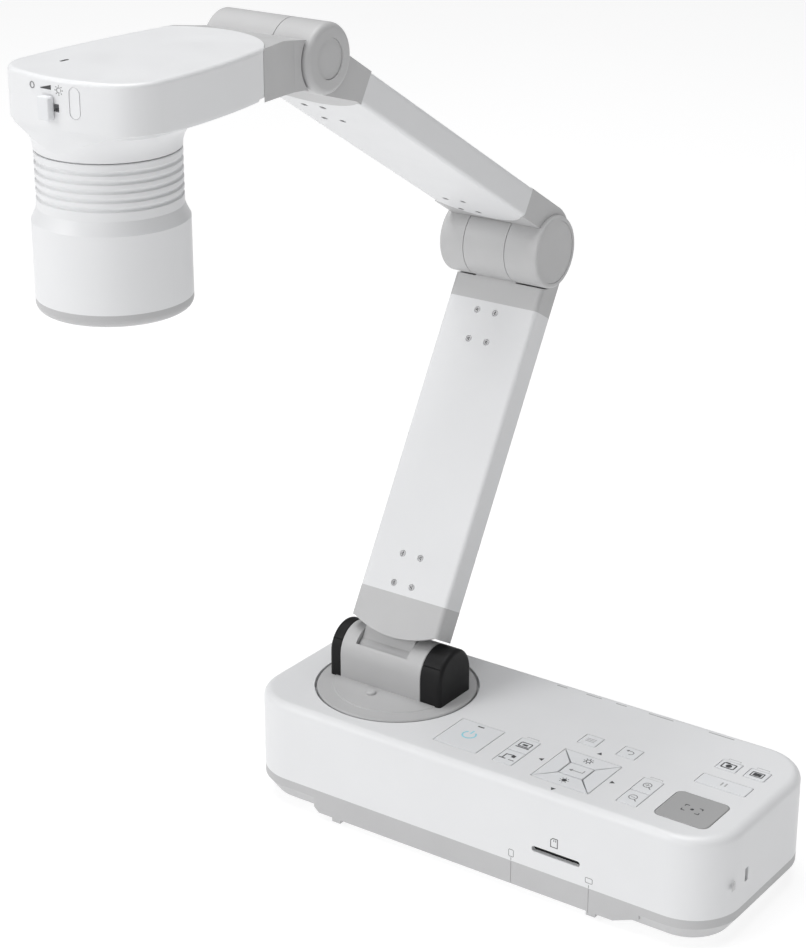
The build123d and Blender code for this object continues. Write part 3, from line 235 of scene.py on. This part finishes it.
CLOUD_SIZE = 0.045      # the moulded plastics' flow clouds, pigment specks,
SPECK_SIZE = 0.0006     # handled patches and slow ripple, in metres
HANDLED_SIZE = 0.018
RIPPLE_SIZE = 0.006
GLOSS_SPREAD = 0.05


def moulded(name, colour, gloss, grain, depth, tint=0.025, speck=0.06, shine=0.5):
    """Injection-moulded plastic: clouds, specks, handled patches, and a spark-eroded grain that
    is grain metres apart and depth metres deep."""
    finish = Finish(name)
    clouds = finish.remap(finish.noise(CLOUD_SIZE), 0, 1)
    specks = finish.remap(finish.noise(SPECK_SIZE, 1), 0, 1)
    body = finish.blend(clouds, scaled(colour, 1 - tint), scaled(colour, 1 + tint))
    speckled = finish.maths("MULTIPLY", specks, speck)
    finish.colour(finish.blend(speckled, body, scaled(colour, 0.82)))
    handled = finish.noise(HANDLED_SIZE, 4, roughness=0.62)
    finish.rough(finish.remap(handled, gloss - GLOSS_SPREAD, gloss + GLOSS_SPREAD))
    finish.bumps(
        (finish.noise(RIPPLE_SIZE, 2), 0.12, 0.0001),
        (finish.cells(grain, "SMOOTH_F1"), 0.55, depth),
        (finish.noise(grain * 0.6, 2), 0.35, depth * 0.6),
    )
    finish.set(IOR=1.49, Specular_IOR_Level=shine)
    return finish.material


WHITE = (0.785, 0.79, 0.80)
FINE = {"tint": 0.012, "speck": 0.024}
white_plastic = moulded("white_plastic", WHITE, 0.36, 0.0005, 0.00001, **FINE)
white_key = moulded("white_key", (0.765, 0.775, 0.79), 0.42, 0.0005, 0.000014, **FINE)
white_arm = moulded("white_arm", scaled(WHITE, 0.94), 0.46, 0.0006, 0.000008, shine=0.35, **FINE)
grey_plastic = moulded("grey_plastic", (0.50, 0.50, 0.503), 0.46, 0.0007, 0.00003, tint=0.035)
tray_grey = moulded("tray_grey", (0.515, 0.515, 0.52), 0.5, 0.0008, 0.00004, tint=0.03)
ring_grey = moulded("ring_grey", (0.50, 0.50, 0.505), 0.42, 0.0006, 0.00002, tint=0.03)
focus_grey = moulded("focus_grey", (0.39, 0.39, 0.392), 0.48, 0.0006, 0.000025)
black_plastic = moulded("black_plastic", (0.010, 0.010, 0.0105), 0.5, 0.0007, 0.00003,
                        tint=0.12, shine=0.22)
socket_black = moulded("socket_black", (0.022, 0.022, 0.023), 0.5, 0.0005, 0.00002, tint=0.12)
socket_blue = moulded("socket_blue", (0.03, 0.09, 0.33), 0.42, 0.0005, 0.000015, tint=0.06)
video_yellow = moulded("video_yellow", (0.72, 0.46, 0.03), 0.42, 0.0005, 0.000015, tint=0.06)


def rubber_finish():
    """Dull rubber with dust in its grain."""
    finish = Finish("rubber")
    dust = finish.remap(finish.noise(0.004, 5, roughness=0.7), 0, 0.55, 0.45, 0.8)
    finish.colour(finish.blend(dust, (0.022, 0.022, 0.023), (0.09, 0.088, 0.084)))
    finish.rough(finish.remap(finish.noise(0.002, 3), 0.68, 0.88))
    finish.bumps((finish.cells(0.0008), 0.5, 0.00004), (finish.noise(0.0004, 3), 0.4, 0.00003))
    finish.set(IOR=1.5)
    return finish.material


def metal_finish(name, colour, gloss, along, scratch=0.25):
    """Machined or plated metal, its fine lines along the axis of the lowest scale in along, and
    faint stains."""
    finish = Finish(name)
    lines = finish.noise(1.0, 4, finish.stretched(along), 0.6)
    stains = finish.remap(finish.noise(0.009, 4), 0, 1)
    base = finish.blend(stains, scaled(colour, 0.9), scaled(colour, 1.06))
    finish.colour(finish.blend(finish.remap(lines, 0, 0.35), base, scaled(colour, 0.78)))
    finish.rough(finish.maths("ADD", finish.remap(lines, gloss - 0.07, gloss + 0.09),
                              finish.remap(stains, -0.02, 0.04, 0, 1)))
    finish.bumps((lines, scratch, 0.00002), (finish.noise(0.0004, 2), 0.2, 0.00001))
    finish.set(Metallic=1.0)
    return finish.material


def board_finish():
    """Green solder mask over a pattern of copper runs, with pads."""
    finish = Finish("circuit_board")
    runs = finish.nodes.new("ShaderNodeTexBrick")
    runs.inputs["Scale"].default_value = 260
    runs.inputs["Mortar Size"].default_value = 0.11
    finish.links.new(finish.place, runs.inputs["Vector"])
    shade = finish.remap(finish.noise(0.02), 0, 1)
    mask = finish.blend(shade, (0.018, 0.11, 0.045), (0.03, 0.16, 0.065))
    traced = finish.blend(runs.outputs["Fac"], mask, (0.05, 0.24, 0.09))
    pads = finish.remap(finish.cells(0.0045), 1, 0, 0.12, 0.2)
    finish.colour(finish.blend(pads, traced, (0.62, 0.6, 0.55)))
    finish.rough(finish.remap(finish.noise(0.003, 3), 0.28, 0.42))
    finish.bumps((runs.outputs["Fac"], 0.5, 0.00003), (pads, 0.5, 0.00004))
    return finish.material


def glass_finish(name, tint):
    """Coated glass: clear, with a faint coloured sheen and a little dust."""
    finish = Finish(name)
    dust = finish.remap(finish.noise(0.0012, 4, roughness=0.7), 0, 0.12, 0.55, 0.8)
    finish.colour(finish.blend(dust, tint, scaled(tint, 0.86)))
    finish.rough(finish.remap(finish.noise(0.008), 0, 0.03))
    finish.bumps((finish.noise(0.012, 2), 0.05, 0.00005))
    finish.set(Transmission_Weight=1.0, IOR=1.5, Coat_Weight=0.6, Coat_Roughness=0.03,
               Coat_Tint=(0.55, 0.68, 1.0, 1))
    return finish.material


def diffuser_finish():
    """Milky lamp cover with a prism grain."""
    finish = Finish("lamp_diffuser")
    milk = finish.remap(finish.noise(0.006), 0, 1)
    finish.colour(finish.blend(milk, (0.86, 0.85, 0.79), (0.93, 0.92, 0.87)))
    finish.rough(finish.remap(finish.noise(0.002, 3), 0.25, 0.42))
    finish.bumps((finish.cells(0.0011), 0.6, 0.00008))
    finish.set(Subsurface_Weight=0.2, Subsurface_Radius=(0.003, 0.003, 0.003), IOR=1.49)
    return finish.material


def ink_finish(name, colour):
    """Pad-printed ink: slightly uneven cover and a soft edge of gloss."""
    finish = Finish(name)
    cover = finish.remap(finish.noise(0.0007, 3), 0, 1)
    finish.colour(finish.blend(cover, scaled(colour, 0.88), scaled(colour, 1.14)))
    finish.rough(finish.remap(finish.noise(0.002, 2), 0.42, 0.6))
    finish.bumps((finish.noise(0.0003, 2), 0.4, 0.00001))
    return finish.material


def floor_finish():
    """Pale paper that glows a little, so that it stays as white as the wall behind it."""
    finish = Finish("floor")
    patches = finish.remap(finish.noise(0.6), 0, 1)
    finish.colour(finish.blend(patches, (0.30, 0.30, 0.302), (0.31, 0.31, 0.312)))
    finish.rough(finish.remap(finish.noise(0.05, 3), 0.75, 0.85))
    finish.bumps((finish.noise(0.002, 2), 0.1, 0.00005))
    finish.set(Emission_Color=(1, 1, 1, 1), Emission_Strength=0.79, Specular_IOR_Level=0.2)
    return finish.material


rubber = rubber_finish()
steel = metal_finish("steel", (0.56, 0.565, 0.575), 0.3, (60, 2200, 2200))
screw_zinc = metal_finish("screw_zinc", (0.34, 0.34, 0.345), 0.42, (900, 900, 900), scratch=0.3)
nickel = metal_finish("nickel", (0.6, 0.59, 0.57), 0.24, (2400, 80, 2400))
circuit_board = board_finish()
window_glass = glass_finish("window_glass", (0.93, 0.96, 0.97))
lens_glass = glass_finish("lens_glass", (0.78, 0.84, 0.95))
lamp_diffuser = diffuser_finish()
ink_dark = ink_finish("ink_dark", (0.055, 0.055, 0.058))
ink_grey = ink_finish("ink_grey", (0.24, 0.24, 0.245))
ink_pale = ink_finish("ink_pale", (0.42, 0.42, 0.425))
ink_faint = ink_finish("ink_faint", (0.62, 0.62, 0.625))
ink_cyan = ink_finish("ink_cyan", (0.30, 0.66, 0.76))
floor.data.materials.append(floor_finish())

FINISHES = {
    "white_plastic": white_plastic, "white_key": white_key, "grey_plastic": grey_plastic,
    "tray_grey": tray_grey, "black_plastic": black_plastic, "rubber": rubber, "steel": steel,
    "screw_zinc": screw_zinc, "circuit_board": circuit_board, "lens_glass": lens_glass,
    "lamp_diffuser": lamp_diffuser, "socket_metal": nickel, "socket_blue": socket_blue,
    "video_yellow": video_yellow,
}
OWN_FINISHES = {
    "lower_tube": white_arm, "upper_tube": white_arm, "hood_ring": ring_grey,
    "key_focus": focus_grey, "front_window": window_glass, "power_socket": socket_black,
    "key_switches": socket_black, "card_socket": socket_black,
}
slots = {row["node"]: row["material_slot"] for row in frame["record"]["subparts"]}
for node, piece in frame["nodes"].items():
    piece.data.materials.clear()
    piece.data.materials.append(OWN_FINISHES.get(node) or FINISHES[slots[node]])

# Printed marks ----------------------------------------------------------------------------------

INK = 0.03      # height of the ink above the surface, mm
SUNK = 0.02     # how far it reaches into the surface, mm
CLIP = 0.35     # the clipped corner of a drawn box, mm
RAYS = 8


class Mark:
    """Printed marks on one flat face: shapes in millimetres about a place, along right and up,
    all of them size times as large."""

    def __init__(self, place, right=(1, 0, 0), up=(0, 1, 0), size=1.0):
        self.unit = size * MM
        right = Vector(right).normalized()
        up = Vector(up).normalized()
        out = right.cross(up)
        self.frame = Matrix((
            (right.x, up.x, out.x, place[0]), (right.y, up.y, out.y, place[1]),
            (right.z, up.z, out.z, place[2]), (0, 0, 0, 1)))
        self.mesh = bmesh.new()

    def _wall(self, outline):
        """An outline's vertices at the ink's foot and at its top."""
        low = [self.mesh.verts.new((x * self.unit, y * self.unit, -SUNK * MM)) for x, y in outline]
        high = [self.mesh.verts.new((x * self.unit, y * self.unit, INK * MM)) for x, y in outline]
        return low, high

    def fill(self, outline):
        """A filled shape, its outline given counter-clockwise."""
        low, high = self._wall(outline)
        self.mesh.faces.new(high)
        self.mesh.faces.new(low[::-1])
        for i in range(len(low)):
            j = (i + 1) % len(low)
            self.mesh.faces.new((low[i], low[j], high[j], high[i]))

    def line(self, points, width, closed=False):
        """A stroke along the points, mitred at its corners."""
        count = len(points)
        left, right = [], []
        for i, (x, y) in enumerate(points):
            before = points[i - 1] if i or closed else None
            after = points[(i + 1) % count] if i < count - 1 or closed else None
            normals = []
            for start, end in ((before, (x, y)), ((x, y), after)):
                if start is not None and end is not None:
                    length = hypot(end[0] - start[0], end[1] - start[1])
                    normals.append(((start[1] - end[1]) / length, (end[0] - start[0]) / length))
            nx = sum(n[0] for n in normals) / len(normals)
            ny = sum(n[1] for n in normals) / len(normals)
            reach = width / 2 / max(nx * nx + ny * ny, 0.25)
            left.append((x + nx * reach, y + ny * reach))
            right.append((x - nx * reach, y - ny * reach))
        left_low, left_high = self._wall(left)
        right_low, right_high = self._wall(right)
        for i in range(count if closed else count - 1):
            j = (i + 1) % count
            self.mesh.faces.new((right_high[i], right_high[j], left_high[j], left_high[i]))
            self.mesh.faces.new((left_low[i], left_low[j], right_low[j], right_low[i]))
            self.mesh.faces.new((left_high[i], left_high[j], left_low[j], left_low[i]))
            self.mesh.faces.new((right_low[i], right_low[j], right_high[j], right_high[i]))
        if not closed:
            self.mesh.faces.new((right_low[0], right_high[0], left_high[0], left_low[0]))
            self.mesh.faces.new((left_low[-1], left_high[-1], right_high[-1], right_low[-1]))

    def disc(self, x, y, radius, steps=24):
        turns = [2 * pi * i / steps for i in range(steps)]
        self.fill([(x + radius * cos(t), y + radius * sin(t)) for t in turns])

    def arc(self, x, y, radius, width, start=0.0, end=360.0, steps=32):
        closed = end - start >= 360
        count = steps if closed else steps + 1
        turns = [radians(start + (end - start) * i / steps) for i in range(count)]
        self.line([(x + radius * cos(t), y + radius * sin(t)) for t in turns], width, closed)

    def box(self, x, y, width, height, stroke):
        """Outline of a rectangle with clipped corners."""
        a, b, c = width / 2, height / 2, CLIP
        self.line([(x + a, y - b + c), (x + a, y + b - c), (x + a - c, y + b), (x - a + c, y + b),
                   (x - a, y + b - c), (x - a, y - b + c), (x - a + c, y - b), (x + a - c, y - b)],
                  stroke, closed=True)

    def bar(self, x, y, width, height):
        a, b = width / 2, height / 2
        self.fill([(x - a, y - b), (x + a, y - b), (x + a, y + b), (x - a, y + b)])

    def done(self, name, body, slot, ink):
        bmesh.ops.recalc_face_normals(self.mesh, faces=self.mesh.faces[:])
        self.mesh.transform(self.frame)
        data = bpy.data.meshes.new(name)
        self.mesh.to_mesh(data)
        self.mesh.free()
        data.materials.append(ink)
        piece = bpy.data.objects.new(name, data)
        scene.collection.objects.link(piece)
        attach(piece, body)


def top_of(node, x=0.0, y=0.0):
    """Middle of a node's top face, moved by x and y millimetres."""
    low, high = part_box(node)
    return ((low.x + high.x) / 2 + x * MM, (low.y + high.y) / 2 + y * MM, high.z)


def key_mark(key, x=0.0, y=0.0, size=1.18):
    return Mark(top_of(key, x, y), size=size)


def sun(mark, radius, ray, stroke, filled):
    """A disc or ring with rays, for brightness and the lamp."""
    if filled:
        mark.disc(0, 0, radius)
    else:
        mark.arc(0, 0, radius, stroke, steps=20)
    near = radius + stroke * 1.1
    far = near + ray
    for i in range(RAYS):
        t = 2 * pi * i / RAYS
        mark.line([(near * cos(t), near * sin(t)), (far * cos(t), far * sin(t))], stroke)


# Keys
mark = key_mark("key_power", -0.4, 0.5)
mark.arc(0, 0, 2.9, 0.75, 128, 412)
mark.line([(0, 0.9), (0, 3.9)], 0.75)
mark.done("mark_power", "key_power", "socket_blue", ink_cyan)

mark = key_mark("key_power", 0.2, 10.4, size=1.0)
mark.bar(0, 0, 3.6, 0.95)
mark.done("mark_power_light", "key_power", "black_plastic", ink_dark)

mark = key_mark("key_source_computer")
mark.box(0.2, 0.7, 5.2, 3.4, 0.55)
mark.bar(0.2, -1.9, 6.4, 0.6)
mark.bar(0.2, 0.6, 2.4, 1.3)
mark.done("mark_source_computer", "key_source_computer", "black_plastic", ink_dark)

mark = key_mark("key_source_camera")
mark.bar(-2.2, -1.9, 3.4, 0.6)
mark.line([(-2.2, -1.8), (-2.2, 1.7), (1.4, 2.2)], 0.55)
mark.bar(1.5, 1.2, 1.7, 1.9)
mark.bar(2.2, -2.0, 2.6, 0.45)
mark.done("mark_source_camera", "key_source_camera", "black_plastic", ink_dark)

mark = key_mark("key_up", 0, -0.4)
sun(mark, 1.05, 0.75, 0.42, filled=False)
mark.done("mark_bright", "key_up", "black_plastic", ink_dark)

mark = key_mark("key_down", 0, 0.4)
sun(mark, 1.15, 0.45, 0.38, filled=True)
mark.done("mark_dark", "key_down", "black_plastic", ink_dark)

mark = key_mark("key_enter", 0.2, 0)
mark.line([(3.0, 1.5), (3.0, -0.6), (-2.0, -0.6)], 0.4)
mark.fill([(-3.4, -0.6), (-1.8, -1.6), (-1.8, 0.4)])
mark.done("mark_enter", "key_enter", "tray_grey", ink_grey)

mark = key_mark("key_menu")
for y in (-1.1, 0.0, 1.1):
    mark.bar(0, y, 4.4, 0.42)
mark.done("mark_menu", "key_menu", "tray_grey", ink_pale)

mark = key_mark("key_escape")
mark.arc(0.3, 0, 1.35, 0.42, -100, 90, steps=18)
mark.line([(0.3, 1.35), (-1.3, 1.35)], 0.42)
mark.fill([(-2.4, 1.35), (-1.1, 0.5), (-1.1, 2.2)])
mark.done("mark_escape", "key_escape", "tray_grey", ink_grey)

for node, plus in (("key_zoom_in", True), ("key_zoom_out", False)):
    mark = key_mark(node, -0.2, 0.1)
    mark.arc(0, 0.4, 1.75, 0.42, steps=24)
    mark.line([(1.3, -0.9), (2.5, -2.1)], 0.55)
    mark.bar(0, 0.4, 1.8, 0.36)
    if plus:
        mark.bar(0, 1.03, 0.36, 0.72)
        mark.bar(0, -0.23, 0.36, 0.72)
    mark.done(node.replace("key", "mark"), node, "black_plastic", ink_grey)

mark = key_mark("key_focus")
for sx in (-1, 1):
    for sy in (-1, 1):
        mark.line([(sx * 2.2, sy * 2.3), (sx * 3.8, sy * 2.3), (sx * 3.8, sy * 1.1)], 0.45)
mark.disc(0, 0, 0.75)
mark.done("mark_focus", "key_focus", "black_plastic", ink_dark)

mark = key_mark("key_freeze")
for x in (-0.9, 0.9):
    mark.bar(x, 0, 0.7, 2.8)
mark.done("mark_freeze", "key_freeze", "tray_grey", ink_pale)

mark = key_mark("key_capture")
mark.box(0, -0.2, 5.6, 3.8, 0.6)
mark.disc(0, -0.2, 1.35)
mark.bar(-1.4, 2.1, 1.9, 0.7)
mark.done("mark_capture", "key_capture", "black_plastic", ink_dark)

mark = key_mark("key_record")
mark.bar(0, 0, 3.6, 2.4)
for y in (-1.75, 1.75):
    mark.bar(0, y, 5.6, 0.5)
for x in (-2.6, 2.6):
    mark.bar(x, 0, 0.5, 2.9)
mark.done("mark_record", "key_record", "black_plastic", ink_dark)

# Base top
top_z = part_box("top_cover")[1].z


def base_mark(x, y):
    return Mark((x * MM, y * MM, top_z), size=1.2)


for name, x, y, turn in (("left", 26.0, -24.6, 90), ("up", 46.5, -3.6, 0),
                         ("right", 65.7, -24.5, 270), ("down", 45.7, -46.0, 180)):
    mark = base_mark(x, y)
    corners = [(-1.15, -0.8), (1.15, -0.8), (0, 1.2)]
    t = radians(turn)
    mark.fill([(a * cos(t) - b * sin(t), a * sin(t) + b * cos(t)) for a, b in corners])
    mark.done("mark_arrow_" + name, "base", "black_plastic", ink_dark)

# A bracket behind a key or a pair of keys
BRACKET_GAP = 2.0       # mm behind the key
for name, node, shift in (("source", "key_source_computer", 0.0), ("zoom", "key_zoom_in", 0.4),
                          ("capture", "key_capture", 0.0), ("record", "key_record", 0.0)):
    low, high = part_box(node)
    mark = Mark(((low.x + high.x) / 2 + shift * MM, high.y + BRACKET_GAP * MM, top_z))
    mark.bar(0, 0.25, 6.6, 0.34)
    for x in (-3.2, 3.2):
        mark.bar(x, -0.3, 0.3, 0.76)
    mark.done("mark_group_" + name, "base", "tray_grey", ink_pale)

# A bar in front of each rear socket
REAR_LEGEND_Y = 46.4    # mm
REAR_LEGEND_THICK = 0.7
DISPLAY_INSET = 15.4    # mm from the pair's ends to each display socket's middle
for number, (node, width) in enumerate((("power_socket", 6.0), ("usb_socket", 9.0),
                                        ("video_socket", 6.0))):
    low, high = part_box(node)
    mark = Mark(((low.x + high.x) / 2, REAR_LEGEND_Y * MM, top_z))
    mark.bar(0, 0, width, REAR_LEGEND_THICK)
    mark.done("mark_rear_%d" % number, "base", "tray_grey", ink_pale)
low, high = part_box("display_sockets")
for number, x in enumerate((low.x + DISPLAY_INSET * MM, high.x - DISPLAY_INSET * MM)):
    mark = Mark((x, REAR_LEGEND_Y * MM, top_z))
    mark.bar(0, 0, 14.0, REAR_LEGEND_THICK)
    mark.done("mark_display_%d" % number, "base", "tray_grey", ink_pale)

# Base front and right end
front_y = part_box("top_cover")[0].y


def front_mark(x, z, size=1.0):
    return Mark((x * MM, front_y, z * MM), up=(0, 0, 1), size=size)


for name, x, width, height in (("portrait", 27.1, 2.7, 3.8), ("landscape", 70.6, 3.8, 2.7)):
    mark = front_mark(x, 20.6)
    mark.box(0, 0, width, height, 0.32)
    mark.bar(0, -3.1, 0.36, 1.5)
    mark.done("mark_sheet_" + name, "base", "black_plastic", ink_grey)

mark = front_mark(51.0, 34.2, 1.25)
mark.line([(-1.5, -1.9), (1.5, -1.9), (1.5, 1.9), (-0.6, 1.9), (-1.5, 1.0)], 0.34, closed=True)
for x in (-0.1, 0.75):
    mark.bar(x, 1.0, 0.32, 0.9)
mark.done("mark_card", "base", "black_plastic", ink_dark)

# The padlock beside the lock slot
right_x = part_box("top_cover")[1].x
LOCK_MARK_Y, LOCK_MARK_Z = -33.2, 32.0      # mm
mark = Mark((right_x, LOCK_MARK_Y * MM, LOCK_MARK_Z * MM), right=(0, 1, 0), up=(0, 0, 1))
mark.fill([(-1.7, -2.6), (1.7, -2.6), (1.7, 0.5), (-1.7, 0.5)])
mark.line([(-1.1, 0.5), (-1.1, 1.4), (-0.55, 2.2), (0.55, 2.2), (1.1, 1.4), (1.1, 0.5)], 0.42)
mark.done("mark_lock", "base", "tray_grey", ink_faint)

# Head: the lamp slider's legend on the bowed front, and the pointer on the top
BOW = 84.0              # radius of the bowed front wall, mm
POINTER_LEFT = 17       # mm from the lens axis
POINTER_FRONT = 36.8    # mm in front of the hood ring's back
lens_low, lens_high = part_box("hood_ring")
lens_x = (lens_low.x + lens_high.x) / 2
head_low, head_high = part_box("head_cover")


def head_mark(x, z, size=1.2):
    """A place on the bowed front wall, x millimetres from the lens axis."""
    y = head_low.y + (BOW - (BOW * BOW - x * x) ** 0.5) * MM
    return Mark((lens_x + x * MM, y, z * MM), right=(1, x / BOW, 0), up=(0, 0, 1), size=size)


mark = head_mark(-10.4, 411.2)
mark.arc(0, 0, 1.0, 0.36, steps=20)
mark.done("mark_lamp_off", "head", "black_plastic", ink_grey)
mark = head_mark(-2.7, 411.5, 1.1)
mark.fill([(-2.6, -0.75), (2.6, -0.75), (2.6, 0.95), (-2.6, -0.45)])
mark.done("mark_lamp_wedge", "head", "black_plastic", ink_dark)
mark = head_mark(4.1, 410.9)
sun(mark, 0.85, 0.5, 0.34, filled=False)
mark.done("mark_lamp_on", "head", "black_plastic", ink_grey)

mark = Mark((lens_x - POINTER_LEFT * MM, lens_high.y - POINTER_FRONT * MM, head_high.z))
mark.fill([(-0.7, -2.4), (0.7, -2.4), (0.9, 1.2), (0, 2.6), (-0.9, 1.2)])
mark.done("mark_pointer", "head", "black_plastic", ink_dark)

# Bounds of the shown pieces
# -----------------------------------------------------------------------

low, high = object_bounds()
